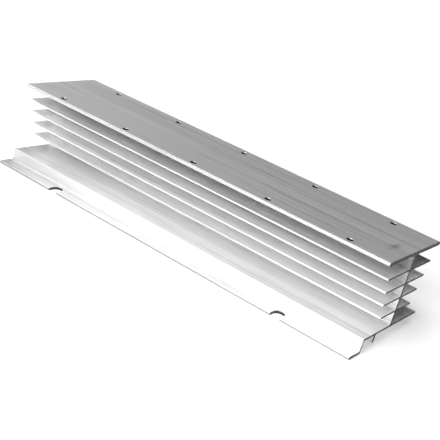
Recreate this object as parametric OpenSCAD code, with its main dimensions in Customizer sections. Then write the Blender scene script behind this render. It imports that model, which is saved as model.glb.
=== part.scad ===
// Extruded aluminium heat sink, sawn from one bar.  A drilled device plate and a stepped
// base are joined by a single web, and cooling fins run along both sides of the web.
// X is the extrusion direction, the flange side faces -Y, and +Z is up.  The origin is in
// the plane of the flange's mounting face, under the middle of the overall length and width.

/* [Bar] */
// Sawn length of the bar
bar_len = 303; // [160:1:600]
// Height from the mounting face to the device face
bar_h = 60; // [54:0.5:90]

/* [Device plate] */
// Width over the plate's rounded edges
plate_w = 71; // [64:0.5:110]
// Thickness of the plate
plate_t = 2.5; // [1.6:0.1:5]

/* [Web] */
// Thickness of the web
web_t = 2.2; // [1.2:0.1:5]
// Radius where the web meets the plate and the base
web_root_r = 1.5; // [0.5:0.1:2]

/* [Fins] */
// Number of fin pairs
fin_pairs = 4; // [1:1:4]
// Thickness of a fin
fin_t = 1.2; // [0.8:0.1:2]
// Distance from one fin to the next
fin_pitch = 9.3; // [6:0.1:11]
// Tip to tip width of the highest pair
fin_span = 59.6; // [54:0.2:64]
// How much shorter each fin is than the fin above it
fin_taper = 3.1; // [0:0.1:5]
// Radius where a fin meets the web
fin_root_r = 1; // [0.3:0.1:1.2]

/* [Base] */
// Width from the face of the step to the rounded back edge
base_w = 72; // [64:0.5:110]
// Thickness of the base
base_t = 1.4; // [1:0.1:3]
// Height of the base's upper face above the mounting face
base_top = 9.9; // [8:0.1:13]

/* [Step and flange] */
// Thickness of the step's wall
step_t = 1.3; // [1:0.1:3]
// Radius of the step's rounded corners
step_r = 0.8; // [0.2:0.1:0.9]
// Reach of the flange beyond the step
flange_reach = 12.5; // [10:0.5:30]
// Thickness of the flange
flange_t = 1.8; // [1:0.1:3]

/* [Stiffening rib] */
// Distance from the face of the step to the middle of the rib
rib_inset = 15.5; // [6:0.5:30]
// Thickness of the rib
rib_t = 2.4; // [1:0.1:4]
// Depth of the rib below the base
rib_depth = 5.4; // [2:0.1:6]

/* [Drilling and slotting] */
// Distance from mid length to the middle of the hole and slot pattern
datum_x = 1.2; // [-5:0.1:5]
// Diameter of the device holes
hole_d = 4.2; // [2:0.1:6]
// Chamfer at the mouth of a device hole
hole_bevel = 0.3; // [0.1:0.1:0.6]
// Distance from one hole to the next along a row
hole_pitch = 60; // [20:1:70]
// Least distance from a sawn end to a hole
hole_end = 20; // [8:1:28]
// Distance from the plate's front edge to the front row
row_front = 5.5; // [4.5:0.1:12]
// Distance from the plate's back edge to the back row
row_back = 7.5; // [4.5:0.1:12]
// Width of a flange slot
slot_w = 7.2; // [4:0.1:9]
// Depth of a flange slot from the flange's front edge
slot_depth = 8.5; // [6:0.1:9]
// Distance from a sawn end to a slot
slot_end = 54.5; // [15:0.5:70]

/* [Hidden] */
$fn = 64;
// The section is drawn about the web, which stands this far behind the origin.
web_y = flange_reach / 2;
plate_z = bar_h - plate_t / 2;
base_z = base_top - base_t / 2;
// The stack of fins is centred between the plate and the base.
fin_mid_z = (bar_h - plate_t + base_top) / 2;
step_y = -base_w / 2;
flange_y = step_y - flange_reach;
rib_y = step_y + rib_inset;
row_ys = [-plate_w / 2 + row_front, plate_w / 2 - row_back];
holes_each_way = floor((bar_len / 2 - abs(datum_x) - hole_end) / hole_pitch);
slot_x = bar_len / 2 - slot_end;
cut = 1;

// A flat blade of the section from y0 to y1.  Each rounded edge is a full half round.
module blade(y0, y1, z, t, round_front = true) {
    start = round_front ? y0 + t / 2 : y0;
    translate([start, z - t / 2]) square([y1 - t / 2 - start, t]);
    translate([y1 - t / 2, z]) circle(d = t);
    if (round_front) translate([start, z]) circle(d = t);
}

// The space between an inside corner at the origin and its fillet.
module corner_fill(r) {
    difference() {
        square(r);
        translate([r, r]) circle(r);
    }
}

// What is taken off an outside corner at the origin to round it.
module corner_cut(r) {
    difference() {
        translate([-cut, -cut]) square(r + cut);
        translate([r, r]) circle(r);
    }
}

// Fillets on both sides of an upright of thickness t that stands at y on the height z.
module root_fillets(y, z, t, r, up) {
    for (side = [-1, 1])
        translate([y + side * t / 2, z]) mirror([side < 0 ? 1 : 0, 0]) mirror([0, up ? 0 : 1])
            corner_fill(r);
}

module device_plate_section() {
    blade(-plate_w / 2, plate_w / 2, plate_z, plate_t);
    root_fillets(0, bar_h - plate_t, web_t, web_root_r, false);
}

module web_section() {
    translate([-web_t / 2, base_z]) square([web_t, plate_z - base_z]);
}

// Fin pairs cross the web level with each other, and get shorter towards the base.
module fins_section() {
    for (i = [0 : fin_pairs - 1]) {
        z = fin_mid_z + ((fin_pairs - 1) / 2 - i) * fin_pitch;
        tip_y = fin_span / 2 - i * fin_taper;
        blade(-tip_y, tip_y, z, fin_t);
        root_fillets(0, z + fin_t / 2, web_t, fin_root_r, true);
        root_fillets(0, z - fin_t / 2, web_t, fin_root_r, false);
    }
}

module base_section() {
    blade(step_y, base_w / 2, base_z, base_t, round_front = false);
    root_fillets(0, base_top, web_t, web_root_r, true);
    translate([rib_y - rib_t / 2, base_top - base_t - rib_depth + rib_t / 2])
        square([rib_t, rib_depth - rib_t / 2 + base_t / 2]);
    translate([rib_y, base_top - base_t - rib_depth + rib_t / 2]) circle(d = rib_t);
    root_fillets(rib_y, base_top - base_t, rib_t, step_r, false);
}

// The step drops from the front edge of the base, and the flange turns out from its foot.
module step_section() {
    difference() {
        union() {
            translate([step_y, 0]) square([step_t, base_top]);
            translate([flange_y + flange_t / 2, 0])
                square([step_y + step_t - flange_y - flange_t / 2, flange_t]);
        }
        translate([step_y + step_t, 0]) mirror([1, 0]) corner_cut(step_r);
    }
    translate([flange_y + flange_t / 2, flange_t / 2]) circle(d = flange_t);
    translate([step_y, flange_t]) mirror([1, 0]) corner_fill(step_r);
    translate([step_y + step_t, base_top - base_t]) mirror([0, 1]) corner_fill(step_r);
}

// The whole cross-section, with Y to the right and Z up.
module bar_section() {
    device_plate_section();
    web_section();
    fins_section();
    difference() {
        union() {
            base_section();
            step_section();
        }
        translate([step_y, base_top]) mirror([0, 1]) corner_cut(step_r);
    }
}

// A clear hole through the device plate, with its mouth chamfered.
module device_hole(x, y) {
    translate([x, y, bar_h - plate_t - cut]) cylinder(d = hole_d, h = plate_t + 2 * cut);
    translate([x, y, bar_h - hole_bevel])
        cylinder(d1 = hole_d, d2 = hole_d + 2 * (hole_bevel + cut), h = hole_bevel + cut);
}

// A round-ended slot, open to the front edge of the flange.
module flange_slot(x) {
    end_y = flange_y + slot_depth - slot_w / 2;
    translate([x, end_y, -cut]) cylinder(d = slot_w, h = flange_t + 2 * cut);
    translate([x - slot_w / 2, flange_y - cut, -cut])
        cube([slot_w, end_y - flange_y + cut, flange_t + 2 * cut]);
}

module heat_sink() {
    color([0.78, 0.79, 0.80])
    translate([0, web_y, 0]) difference() {
        rotate([90, 0, 90]) linear_extrude(bar_len, center = true) bar_section();
        for (i = [-holes_each_way : holes_each_way], y = row_ys) device_hole(datum_x + i * hole_pitch, y);
        for (side = [-1, 1]) flange_slot(datum_x + side * slot_x);
    }
}

heat_sink();
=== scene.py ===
import bmesh
import bpy
from math import cos, pi, radians, sin
from mathutils import Matrix, Vector


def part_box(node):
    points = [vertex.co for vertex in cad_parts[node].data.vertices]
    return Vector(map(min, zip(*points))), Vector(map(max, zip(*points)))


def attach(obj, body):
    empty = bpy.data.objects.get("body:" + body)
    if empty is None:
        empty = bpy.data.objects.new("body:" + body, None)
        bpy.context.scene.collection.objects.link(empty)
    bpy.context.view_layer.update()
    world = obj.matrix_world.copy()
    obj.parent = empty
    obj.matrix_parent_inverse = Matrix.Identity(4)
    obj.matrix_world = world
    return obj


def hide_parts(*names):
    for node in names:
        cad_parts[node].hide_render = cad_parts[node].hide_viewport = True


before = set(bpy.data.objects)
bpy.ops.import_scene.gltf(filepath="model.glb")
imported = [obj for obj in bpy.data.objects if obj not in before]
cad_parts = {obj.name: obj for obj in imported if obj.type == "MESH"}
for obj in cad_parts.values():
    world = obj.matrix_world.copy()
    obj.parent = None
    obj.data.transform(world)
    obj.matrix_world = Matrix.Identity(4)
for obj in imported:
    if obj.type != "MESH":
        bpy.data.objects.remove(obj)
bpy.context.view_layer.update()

# ---------------------------------------------------------------- the extruded bar
# One length of aluminium heat sink, pushed hot through a die as a single section.  The
# section is drawn in millimetres about its web: a device plate on top, four fins each
# side of the web, and a stepped base with a flange at its foot.  It is left as drawn.
MM = 0.001
bar_low, bar_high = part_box("heat_sink")
half_len = bar_high.x / MM
web_off_middle = 6.25
web_y = (bar_low.y + bar_high.y) / 2 / MM + web_off_middle
plate_half, plate_bottom, plate_top = 35.5, 57.5, bar_high.z / MM
web_half, web_root = 1.1, 1.5
fin_levels = (47.65, 38.35, 29.05, 19.75)
fin_tips = (29.8, 26.7, 23.6, 20.5)
fin_half, fin_root = 0.6, 1.0
base_half, base_bottom, base_top = 36.0, 8.5, 9.9
step_back, step_round = -34.7, 0.8
flange_tip, flange_top = -48.5, 1.8
rib_y, rib_half, rib_foot = -20.5, 1.2, 3.1
saw_break = 0.12
arc_step_deg = 12


def swept_arc(y, z, radius, first_deg, last_deg):
    """Points of a rounded corner of the section."""
    sweep = last_deg - first_deg
    steps = max(3, round(abs(sweep) / arc_step_deg))
    turn = [radians(first_deg + sweep * k / steps) for k in range(steps + 1)]
    return [(y + radius * cos(a), z + radius * sin(a)) for a in turn]


def finned_side():
    """The back side of the section, from the base's upper face to the device face."""
    side = swept_arc(web_half + web_root, base_top + web_root, web_root, -90, -180)
    root_y = web_half + fin_root
    for level, tip in reversed(list(zip(fin_levels, fin_tips))):
        side += swept_arc(root_y, level - fin_half - fin_root, fin_root, 180, 90)
        side += swept_arc(tip - fin_half, level, fin_half, -90, 90)
        side += swept_arc(root_y, level + fin_half + fin_root, fin_root, -90, -180)
    side += swept_arc(web_half + web_root, plate_bottom - web_root, web_root, 180, 90)
    edge = (plate_top - plate_bottom) / 2
    return side + swept_arc(plate_half - edge, plate_bottom + edge, edge, -90, 90)


back_side = finned_side()
base_edge = (base_top - base_bottom) / 2
flange_edge = flange_top / 2
under_base = base_bottom - step_round
section = swept_arc(base_half - base_edge, base_bottom + base_edge, base_edge, -90, 90)
section += back_side
section += [(-y, z) for y, z in reversed(back_side)]
section += swept_arc(-base_half + step_round, base_top - step_round, step_round, 90, 180)
section += swept_arc(-base_half - step_round, flange_top + step_round, step_round, 0, -90)
section += swept_arc(flange_tip + flange_edge, flange_edge, flange_edge, 90, 270)
section += swept_arc(step_back - step_round, step_round, step_round, -90, 0)
section += swept_arc(step_back + step_round, under_base, step_round, 180, 90)
section += swept_arc(rib_y - rib_half - step_round, under_base, step_round, 90, 0)
section += swept_arc(rib_y, rib_foot + rib_half, rib_half, 180, 360)
section += swept_arc(rib_y + rib_half + step_round, under_base, step_round, 180, 90)


def drawn_in(outline, inset):
    """The outline moved into the metal by the inset, for the broken edge of a sawn end."""
    moved = []
    for k, (y, z) in enumerate(outline):
        before, after = outline[k - 1], outline[(k + 1) % len(outline)]
        run_in = Vector((y - before[0], z - before[1])).normalized()
        run_out = Vector((after[0] - y, after[1] - z)).normalized()
        along = (run_in + run_out).normalized()
        moved.append((y - along.y * inset, z + along.x * inset))
    return moved


def closed_solid(name, rings):
    """A closed solid through rings of points, each ring a list of (x, y, z) in mm."""
    mesh = bmesh.new()
    loops = [[mesh.verts.new((x * MM, (y + web_y) * MM, z * MM)) for x, y, z in ring]
             for ring in rings]
    for near, far in zip(loops, loops[1:]):
        for k in range(len(near)):
            mesh.faces.new((near[k - 1], near[k], far[k], far[k - 1]))
    mesh.faces.new(loops[0])
    mesh.faces.new(loops[-1][::-1])
    bmesh.ops.recalc_face_normals(mesh, faces=mesh.faces)
    data = bpy.data.meshes.new(name)
    mesh.to_mesh(data)
    mesh.free()
    solid = bpy.data.objects.new(name, data)
    bpy.context.scene.collection.objects.link(solid)
    return solid


sawn_outline = drawn_in(section, saw_break)
stations = (
    (-half_len, sawn_outline),
    (-half_len + saw_break, section),
    (half_len - saw_break, section),
    (half_len, sawn_outline),
)
bar = closed_solid("extruded_bar", [[(x, y, z) for y, z in outline] for x, outline in stations])


def bare_metal(name, across=0.0, metal=1.0):
    """A new aluminium finish and its shader; across draws its gloss out over the lines."""
    finish = bpy.data.materials.new(name)
    finish.use_nodes = True
    shader = finish.node_tree.nodes["Principled BSDF"]
    shader.inputs["Metallic"].default_value = metal
    shader.inputs["Anisotropic"].default_value = across
    return finish, shader


def math_of(tree, operation, *values):
    """One arithmetic node; each value is a number or another node's output."""
    node = tree.nodes.new("ShaderNodeMath")
    node.operation = operation
    for socket, value in zip(node.inputs, values):
        if isinstance(value, (int, float)):
            socket.default_value = value
        else:
            tree.links.new(value, socket)
    return node.outputs[0]


def place_on(tree):
    """Where the shaded point is on the piece, in metres."""
    return tree.nodes.new("ShaderNodeTexCoord").outputs["Object"]


def place_along(tree, axis):
    """Where the shaded point is along one axis of the piece, in metres."""
    apart = tree.nodes.new("ShaderNodeSeparateXYZ")
    tree.links.new(place_on(tree), apart.inputs["Vector"])
    return apart.outputs[axis]


def share_of(tree, axis, low, high):
    """How far along one axis the point is, from 0 at low to 1 at high, both in metres."""
    from_low = math_of(tree, "SUBTRACT", place_along(tree, axis), low)
    return math_of(tree, "DIVIDE", from_low, high - low)


def streaks(tree, along, across, detail, seed):
    """Noise drawn out along the bar; one streak is along mm long and across mm wide."""
    stretch = tree.nodes.new("ShaderNodeMapping")
    per_metre = 1 / (across * MM)
    stretch.inputs["Scale"].default_value = (1 / (along * MM), per_metre, per_metre)
    stretch.inputs["Location"].default_value = (seed, seed * 1.7, seed * 2.3)
    noise = tree.nodes.new("ShaderNodeTexNoise")
    noise.inputs["Scale"].default_value = 1.0
    noise.inputs["Detail"].default_value = detail
    noise.inputs["Roughness"].default_value = 0.55
    tree.links.new(place_on(tree), stretch.inputs["Vector"])
    tree.links.new(stretch.outputs["Vector"], noise.inputs["Vector"])
    return noise.outputs["Fac"]


def shaded(tree, factor, stops):
    """A colour ramp over the factor; each stop is (place, grey or colour)."""
    ramp = tree.nodes.new("ShaderNodeValToRGB")
    tones = ramp.color_ramp.elements
    tones.remove(tones[0])
    for k, (place, tone) in enumerate(stops):
        stop = tones[0] if k == 0 else tones.new(place)
        stop.position = place
        stop.color = (*tone, 1) if isinstance(tone, tuple) else (tone, tone, tone, 1)
    tree.links.new(factor, ramp.inputs["Fac"])
    return ramp.outputs["Color"]


def multiplied(tree, first, second, amount=1.0):
    """One colour darkened by another; the amount is a number or a node's output."""
    mix = tree.nodes.new("ShaderNodeMix")
    mix.data_type = "RGBA"
    mix.blend_type = "MULTIPLY"
    if isinstance(amount, float):
        mix.inputs["Factor"].default_value = amount
    else:
        tree.links.new(amount, mix.inputs["Factor"])
    tree.links.new(first, mix.inputs["A"])
    tree.links.new(second, mix.inputs["B"])
    return mix.outputs["Result"]


def dulled(tree, shader, marks, least, more):
    """Roughness that runs from least by as much more as the marks are strong."""
    tree.links.new(math_of(tree, "MULTIPLY_ADD", marks, more, least), shader.inputs["Roughness"])


def raised(tree, shader, height, depth):
    """Relief in the surface, depth mm deep for a height of one."""
    bump = tree.nodes.new("ShaderNodeBump")
    bump.inputs["Distance"].default_value = depth * MM
    tree.links.new(height, bump.inputs["Height"])
    tree.links.new(bump.outputs["Normal"], shader.inputs["Normal"])


# The skin as it left the die: fine die lines, wider drag lines, broad bands and cloud.
mill, mill_shader = bare_metal("mill_skin", across=0.7, metal=0.55)
tree = mill.node_tree
round_bar = tree.nodes.new("ShaderNodeTangent")
round_bar.direction_type = "RADIAL"
round_bar.axis = "X"
tree.links.new(round_bar.outputs["Tangent"], mill_shader.inputs["Tangent"])
die_lines = streaks(tree, along=90, across=0.35, detail=2.0, seed=1.0)
drag_lines = streaks(tree, along=180, across=2.0, detail=2.5, seed=2.0)
broad_bands = streaks(tree, along=900, across=9.0, detail=1.0, seed=3.0)
cloud = streaks(tree, along=30, across=12.0, detail=4.0, seed=4.0)
tone = -2.15
for lines, weight in ((die_lines, 0.9), (drag_lines, 2.4), (broad_bands, 1.2), (cloud, 0.8)):
    tone = math_of(tree, "MULTIPLY_ADD", lines, weight, tone)
skin = shaded(tree, tone, [(0.04, 0.81), (0.40, 0.99), (0.75, 1.0)])

# Its colour from the foot to the plate, with painted shade in it: a dark line along
# the foot's lower edge as painted contact shadow, and the top groove, the plate's underside
# and the plate itself darker.
height = share_of(tree, "Z", 0, bar_high.z)
painted_height_shade = shaded(tree, height, [
    (0.004, 0.30), (0.016, 0.5), (0.026, 0.925), (0.165, (0.925, 0.919, 0.921)),
    (0.34, (1.0, 0.997, 0.998)), (0.55, (0.995, 0.994, 1.0)), (0.80, (0.98, 0.98, 0.985)),
    (0.86, (0.84, 0.84, 0.843)), (0.95, 0.67), (0.97, 0.765)])

# Over the plate's width it has bands, and it is darker towards the +X end of the plate:
# that darkening is painted shade.
across_bar = share_of(tree, "Y", bar_low.y, bar_high.y)
along_bar = share_of(tree, "X", bar_low.x, bar_high.x)
bands = shaded(tree, across_bar, [
    (0.17, 1.0), (0.22, 0.965), (0.52, 0.97), (0.60, 1.0), (0.65, 0.965), (0.74, 0.92),
    (0.86, 0.935), (0.95, 1.0)])
painted_end_shade = shaded(tree, along_bar, [(0.0, 1.0), (1.0, 0.85)])
on_plate = math_of(tree, "GREATER_THAN", place_along(tree, "Z"), (plate_top - 0.4) * MM)

# Painted shade: the base and flange darken towards their -X end.
painted_foot_end_shade = shaded(tree, along_bar, [(0.0, 0.78), (0.12, 0.86), (0.30, 1.0)])
on_foot = math_of(tree, "LESS_THAN", place_along(tree, "Z"), (base_top + 1) * MM)

# Painted shade: deep in the grooves the web is darker, and more so the higher the groove.
groove_fade, groove_reach = 2.2, 1.4
from_web = math_of(
    tree, "ABSOLUTE", math_of(tree, "SUBTRACT", place_along(tree, "Y"), web_y * MM))
in_groove = math_of(tree, "MULTIPLY_ADD", from_web, -1 / (groove_fade * MM), groove_reach)
in_groove.node.use_clamp = True
painted_groove_shade = shaded(tree, height, [
    (0.17, 1.0), (0.42, 0.98), (0.56, 0.82), (0.72, 0.62), (0.90, 0.50), (0.955, 0.5),
    (0.97, 1.0)])

# Painted shade: the top groove at the back, under the plate, is the darkest.
at_back = math_of(tree, "GREATER_THAN", place_along(tree, "Y"), (web_y + web_half + 0.1) * MM)
painted_back_groove_shade = shaded(tree, height, [(0.79, 1.0), (0.803, 0.45), (0.95, 0.5), (0.962, 1.0)])

# A thumb-sized scuff from handling, near one end of the plate.
scuff_x, scuff_y, scuff_half_x, scuff_half_y = 140.4, -8.0, 2.2, 7.0
worn = tree.nodes.new("ShaderNodeMapping")
worn.inputs["Scale"].default_value = (1 / (scuff_half_x * MM), 1 / (scuff_half_y * MM), 0)
worn.inputs["Location"].default_value = (
    -scuff_x / scuff_half_x, -(scuff_y + web_y) / scuff_half_y, 0)
tree.links.new(place_on(tree), worn.inputs["Vector"])
off_centre = tree.nodes.new("ShaderNodeVectorMath")
off_centre.operation = "LENGTH"
tree.links.new(worn.outputs["Vector"], off_centre.inputs[0])
specks = streaks(tree, along=1.1, across=1.3, detail=3.0, seed=8.0)
rubbed = math_of(tree, "SUBTRACT", math_of(tree, "MULTIPLY_ADD", specks, 7.0, -2.6),
                 off_centre.outputs["Value"])
scuff = shaded(tree, math_of(tree, "MULTIPLY", rubbed, on_plate), [(0.0, 1.0), (0.9, 0.5)])

# Into the skin's colour go the painted shade by height, the real scuff, the bands, and the
# painted shade at the ends, in the grooves and at the back.
skin = multiplied(tree, multiplied(tree, skin, painted_height_shade), scuff)
for marks, amount in ((bands, on_plate), (painted_end_shade, on_plate), (painted_foot_end_shade, on_foot),
                      (painted_groove_shade, in_groove), (painted_back_groove_shade, at_back)):
    skin = multiplied(tree, skin, marks, amount)
tree.links.new(skin, mill_shader.inputs["Base Color"])
dulled(tree, mill_shader, drag_lines, least=0.28, more=0.2)
raised(tree, mill_shader, math_of(tree, "ADD", die_lines, drag_lines), depth=0.025)
bar.data.materials.append(mill)

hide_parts("heat_sink")
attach(bar, "root")

# ---------------------------------------------------------------- the sawn ends
# Each end is cut square by a circular saw.  The blade leaves a dull grey face with
# faint arcs across it, and a broken edge a tenth of a millimetre wide.  The face is painted
# near black: partly its dull sawn finish, partly painted shade.
sawn, sawn_shader = bare_metal("sawn_face")
tree = sawn.node_tree
blade = tree.nodes.new("ShaderNodeMapping")
blade.inputs["Location"].default_value = (0, 0.09, 0.06)
tree.links.new(place_on(tree), blade.inputs["Vector"])
arcs = tree.nodes.new("ShaderNodeTexWave")
arcs.wave_type = "RINGS"
arcs.rings_direction = "X"
arcs.inputs["Scale"].default_value = 520.0
arcs.inputs["Distortion"].default_value = 1.5
arcs.inputs["Detail"].default_value = 2.0
tree.links.new(blade.outputs["Vector"], arcs.inputs["Vector"])
torn = streaks(tree, along=2, across=2.0, detail=3.0, seed=5.0)
tone = math_of(tree, "MULTIPLY_ADD", arcs.outputs["Fac"], 0.3,
               math_of(tree, "MULTIPLY", torn, 0.6))
# Painted shade: the near-black tone of the sawn face.
sawn_tone_and_shade = shaded(tree, tone, [(0.1, 0.025), (0.9, 0.085)])
tree.links.new(sawn_tone_and_shade, sawn_shader.inputs["Base Color"])
dulled(tree, sawn_shader, torn, least=0.42, more=0.2)
raised(tree, sawn_shader, arcs.outputs["Fac"], depth=0.01)
bar.data.materials.append(sawn)
for face in bar.data.polygons:
    if abs(face.center.x) > (half_len - saw_break) * MM and abs(face.normal.x) > 0.5:
        face.material_index = 1

# ---------------------------------------------------------------- the device holes
# Two rows of five clear holes are drilled through the device plate and lightly
# countersunk.  They are set out from a datum a little off the middle of the bar.
datum_x = 1.2
hole_half, hole_pitch = 2.1, 60.0
hole_sink, hole_burr = 0.3, 0.1
hole_rows = (-30.0, 28.0)
hole_places = [(datum_x + k * hole_pitch, row) for row in hole_rows for k in range(-2, 3)]
tool_out = 1


def cut_away(tool):
    """Cuts the tool out of the bar; the fresh faces take the tool's own finish."""
    cut = bar.modifiers.new("cut", "BOOLEAN")
    cut.operation = "DIFFERENCE"
    cut.solver = "EXACT"
    cut.material_mode = "TRANSFER"
    cut.object = tool
    bpy.context.view_layer.update()
    as_cut = bar.evaluated_get(bpy.context.evaluated_depsgraph_get())
    cut_mesh = bpy.data.meshes.new_from_object(as_cut)
    bar.modifiers.clear()
    bar.data = cut_mesh
    bpy.data.objects.remove(tool)


def drill(x, y):
    """A twist drill with a countersink at both faces, standing through the plate."""
    profile = (
        (plate_bottom - tool_out, hole_half + tool_out + hole_burr),
        (plate_bottom + hole_burr, hole_half),
        (plate_top - hole_sink, hole_half),
        (plate_top + tool_out, hole_half + hole_sink + tool_out),
    )
    turn = [2 * pi * k / 48 for k in range(48)]
    return closed_solid(
        "drill", [[(x + r * cos(a), y + r * sin(a), z) for a in turn] for z, r in profile])


drilled, drilled_shader = bare_metal("drilled_wall")
drilled_shader.inputs["Roughness"].default_value = 0.4
tree = drilled.node_tree
rings = streaks(tree, along=40, across=0.12, detail=2.0, seed=6.0)
depth_in = share_of(tree, "Z", plate_bottom * MM, plate_top * MM)
# Painted shade: the drilled wall is painted near black deep in the hole, lighter only at the
# countersink.
wall_depth_and_rings = math_of(tree, "MULTIPLY_ADD", rings, 0.16, math_of(tree, "SUBTRACT", depth_in, 0.08))
drill_tone_and_shade = shaded(tree, wall_depth_and_rings, [(0.0, 0.015), (0.78, 0.04), (0.95, 0.5), (1.0, 0.85)])
tree.links.new(drill_tone_and_shade, drilled_shader.inputs["Base Color"])
raised(tree, drilled_shader, rings, depth=0.01)
for x, y in hole_places:
    tool = drill(x, y)
    tool.data.materials.append(drilled)
    cut_away(tool)

# ---------------------------------------------------------------- the flange slots
# Two round-ended slots are punched into the flange's front edge.  The punch leaves
# torn walls, a little brighter towards the top, and a slightly rounded lip.  The walls are
# painted near black: partly their dull torn finish, partly painted shade.
slot_half, slot_reach, slot_from_datum = 3.6, 8.5, 97.0
slot_sink = 0.15


def slot_punch(x):
    """The punch for one open slot: a round end, and straight sides out past the edge."""
    end_y = flange_tip + slot_reach - slot_half
    past_edge = flange_tip - 2
    profile = (
        (-tool_out, tool_out + slot_sink),
        (slot_sink, 0),
        (flange_top - slot_sink, 0),
        (flange_top + tool_out, tool_out + slot_sink),
    )
    rings = []
    for z, spread in profile:
        half = slot_half + spread
        turn = [pi * k / 24 for k in range(25)]
        ring = [(x + half * cos(a), end_y + half * sin(a), z) for a in turn]
        rings.append(ring + [(x - half, past_edge, z), (x + half, past_edge, z)])
    return closed_solid("slot_punch", rings)


punched, punched_shader = bare_metal("punched_wall")
tree = punched.node_tree
rags = streaks(tree, along=0.5, across=0.5, detail=3.0, seed=7.0)
tear = math_of(tree, "MULTIPLY_ADD", rags, 0.6, share_of(tree, "Z", 0, flange_top * MM))
# Painted shade, in part: the punched walls' near-black tone, lighter towards the top.
punch_tone_and_shade = shaded(tree, tear, [(0.55, 0.04), (0.95, 0.13)])
tree.links.new(punch_tone_and_shade, punched_shader.inputs["Base Color"])
dulled(tree, punched_shader, tear, least=0.9, more=-0.4)
raised(tree, punched_shader, tear, depth=0.03)
for side in (-1, 1):
    tool = slot_punch(datum_x + side * slot_from_datum)
    tool.data.materials.append(punched)
    cut_away(tool)

# With every cut made, the bar is shaded round at its arcs and flat on its faces.
bar.data.shade_smooth()
bar.data.set_sharp_from_angle(angle=radians(28))
weigh = bar.modifiers.new("weigh", "WEIGHTED_NORMAL")
weigh.keep_sharp = True
weigh.weight = 100

# ---------------------------------------------------------------- the floor
# A plain pale sheet of matt paper, far wider than the bar, with the bar standing on it.
# It is backlit, and more so away from the bar, so that it stays white to its edges.
floor_half, floor_gap = 6.0, 0.0002
floor_mesh = bmesh.new()
bmesh.ops.create_grid(floor_mesh, x_segments=1, y_segments=1, size=floor_half)
floor_data = bpy.data.meshes.new("floor")
floor_mesh.to_mesh(floor_data)
floor_mesh.free()
floor = bpy.data.objects.new("floor", floor_data)
floor.location = (0, 0, bar_low.z - floor_gap)
bpy.context.scene.collection.objects.link(floor)
paper = bpy.data.materials.new("pale_paper")
paper.use_nodes = True
paper_shader = paper.node_tree.nodes["Principled BSDF"]
paper_shader.inputs["Base Color"].default_value = (0.93, 0.93, 0.93, 1)
paper_shader.inputs["Roughness"].default_value = 0.9
paper_shader.inputs["Emission Color"].default_value = (1, 1, 1, 1)
tree = paper.node_tree
from_bar = tree.nodes.new("ShaderNodeVectorMath")
from_bar.operation = "LENGTH"
tree.links.new(place_on(tree), from_bar.inputs[0])
far_glow = math_of(tree, "MULTIPLY_ADD", from_bar.outputs["Value"], 0.16, 0.23)
tree.links.new(far_glow, paper_shader.inputs["Emission Strength"])
floor.data.materials.append(paper)

# ---------------------------------------------------------------- the studio light
# Large soft boxes stand five metres off, most of them in front of the bar, so the fins
# and the base are bright and the device plate stays mid grey.  The room's walls are
# white to look at, and give little light.
soft_boxes = (  # name, bearing and rise in degrees, width and height in metres, watts
    ("key", 0, 28, 3.2, 2.2, 185.0),
    ("high", 0, 64, 3.2, 1.8, 128.0),
    ("left", 324, 36, 2.4, 1.7, 14.0),
    ("back", 252, 36, 2.4, 1.7, 18.0),
    ("top", 275, 52, 1.8, 1.8, 40.0),
)
stand_off = 5.0
for name, bearing, rise, width, height, watts in soft_boxes:
    lamp = bpy.data.lights.new(name, "AREA")
    lamp.shape = "RECTANGLE"
    lamp.size, lamp.size_y, lamp.energy = width, height, watts
    box = bpy.data.objects.new(name, lamp)
    bpy.context.scene.collection.objects.link(box)
    turn, lift = radians(bearing), radians(rise)
    towards = Vector((sin(turn) * cos(lift), -cos(turn) * cos(lift), sin(lift)))
    box.location = towards * stand_off + Vector((0, 0, bar_high.z / 2))
    box.rotation_euler = towards.to_track_quat("Z", "Y").to_euler()
room_light, room_seen = 0.03, 1.0
world = bpy.data.worlds.new("studio")
bpy.context.scene.world = world
world.use_nodes = True
tree = world.node_tree
backdrop = tree.nodes["Background"]
backdrop.inputs["Color"].default_value = (1, 1, 1, 1)
seen = tree.nodes.new("ShaderNodeLightPath")
room = math_of(
    tree, "MULTIPLY_ADD", seen.outputs["Is Camera Ray"], room_seen - room_light, room_light)
tree.links.new(room, backdrop.inputs["Strength"])

# ---------------------------------------------------------------- the camera
# It stands in front of the bar and to the right, a little above it, and is rolled, so
# that the bar runs down to the right.  The lens is long.
camera_data = bpy.data.cameras.new("camera")
camera_data.lens = 77.59
camera_data.sensor_width = 36.0
camera = bpy.data.objects.new("camera", camera_data)
bpy.context.scene.collection.objects.link(camera)
camera_place = Vector((0.3270, -0.5068, 0.2488))
camera_from, camera_rise, camera_roll = radians(31.41), radians(20.91), radians(15.28)
back = Vector((sin(camera_from) * cos(camera_rise), -cos(camera_from) * cos(camera_rise),
               sin(camera_rise)))
level = Vector((cos(camera_from), sin(camera_from), 0))
upright = back.cross(level)
right = level * cos(camera_roll) + upright * sin(camera_roll)
up = upright * cos(camera_roll) - level * sin(camera_roll)
turned = Matrix((right, up, back)).transposed().to_4x4()
turned.translation = camera_place
camera.matrix_world = turned
bpy.context.scene.camera = camera
bpy.context.scene.view_settings.view_transform = "Standard"
